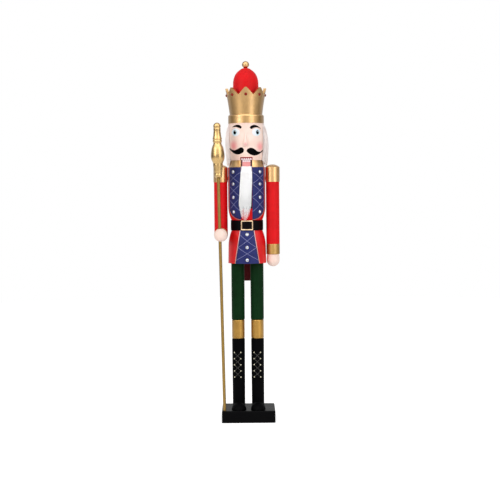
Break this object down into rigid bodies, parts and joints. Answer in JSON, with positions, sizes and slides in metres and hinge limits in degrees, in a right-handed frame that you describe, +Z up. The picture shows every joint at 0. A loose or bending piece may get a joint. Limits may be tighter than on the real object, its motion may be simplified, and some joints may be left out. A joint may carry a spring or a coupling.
{
  "type": "nutcracker figure",
  "caption": "Tall turned-wood nutcracker king on a plinth, with a lever jaw, crown, fur beard and hair, and a loose staff in its right hand.",
  "frame": {"origin": "centre of the plinth's underside", "axes": "+Z up the figure; it faces -Y, so its own right side is at -X"},
  "size_m": [0.2835, 0.2429, 1.5],
  "materials": {
    "plinth_black": "satin black paint on wood",
    "boot_black": "gloss black paint on wood",
    "eyelet_silver": "silver pearl dot",
    "gold_paint": "metallic gold paint on wood",
    "trouser_green": "satin dark green paint on wood",
    "bare_wood": "bare turned beech",
    "steel": "drawn",
    "coat_red": "gloss red paint on wood",
    "navy_cloth": "navy satin ribbon with a woven lattice",
    "trim_cord": "pale woven piping",
    "clear_stone": "faceted clear acrylic, foil backed",
    "garnet_stone": "dark red acrylic half ball",
    "belt_black": "black imitation leather",
    "buckle_gold": "pale gold",
    "skin_paint": "satin skin-coloured paint on wood",
    "jaw_pink": "pink paint on wood",
    "teeth_white": "white paint on wood",
    "white_fur": "white long-pile artificial fur"
  },
  "bodies": {
    "figure": {"arm_dowels": "bare_wood", "base_plinth": "plinth_black", "belt": "belt_black", "belt_buckle": "buckle_gold", "chest_stones": "clear_stone", "coat_chest": "coat_red", "coat_skirt": "coat_red", "collar": "gold_paint", "crown": "gold_paint", "crown_ball": "gold_paint", "crown_dome": "coat_red", "crown_dowel": "bare_wood", "crown_gems": "garnet_stone", "hair": "white_fur", "head": "skin_paint", "hip_dowels": "bare_wood", "jaw_pivot_pin": "steel", "left_boot": "boot_black", "left_boot_eyelets": "eyelet_silver", "left_cuff": "gold_paint", "left_garter": "gold_paint", "left_hand": "skin_paint", "left_lapel": "navy_cloth", "left_lapel_trim": "trim_cord", "left_shoe": "boot_black", "left_shoulder_cap": "gold_paint", "left_sleeve": "coat_red", "left_trouser_leg": "trouser_green", "leg_dowels": "bare_wood", "leg_screws": "steel", "neck_dowels": "bare_wood", "nose": "skin_paint", "right_boot": "boot_black", "right_boot_eyelets": "eyelet_silver", "right_cuff": "gold_paint", "right_forearm": "coat_red", "right_garter": "gold_paint", "right_hand": "skin_paint", "right_lapel": "navy_cloth", "right_lapel_trim": "trim_cord", "right_shoe": "boot_black", "right_shoulder_cap": "gold_paint", "right_trouser_leg": "trouser_green", "right_upper_sleeve": "coat_red", "shoulder_dowels": "bare_wood", "skirt_panel": "navy_cloth", "skirt_stones": "clear_stone", "skirt_trim": "trim_cord", "upper_teeth": "teeth_white", "waist_dowel": "bare_wood"},
    "jaw": {"beard": "white_fur", "jaw_block": "jaw_pink", "jaw_lever": "coat_red", "lower_teeth": "teeth_white"},
    "staff": {"staff_finial": "gold_paint", "staff_rod": "gold_paint"}
  },
  "joints": [
    {"name": "jaw_hinge", "type": "hinge", "parent": "figure", "child": "jaw", "pos_m": [0, -0.005, 1.03], "axis": [1, 0, 0], "range_deg": [0, 20], "deforming": ["beard"]},
    {"name": "staff_slide", "type": "slide", "parent": "figure", "child": "staff", "axis": [-0.0169, -0.0364, 0.9992], "range_m": [0, 0.78]}
  ]
}
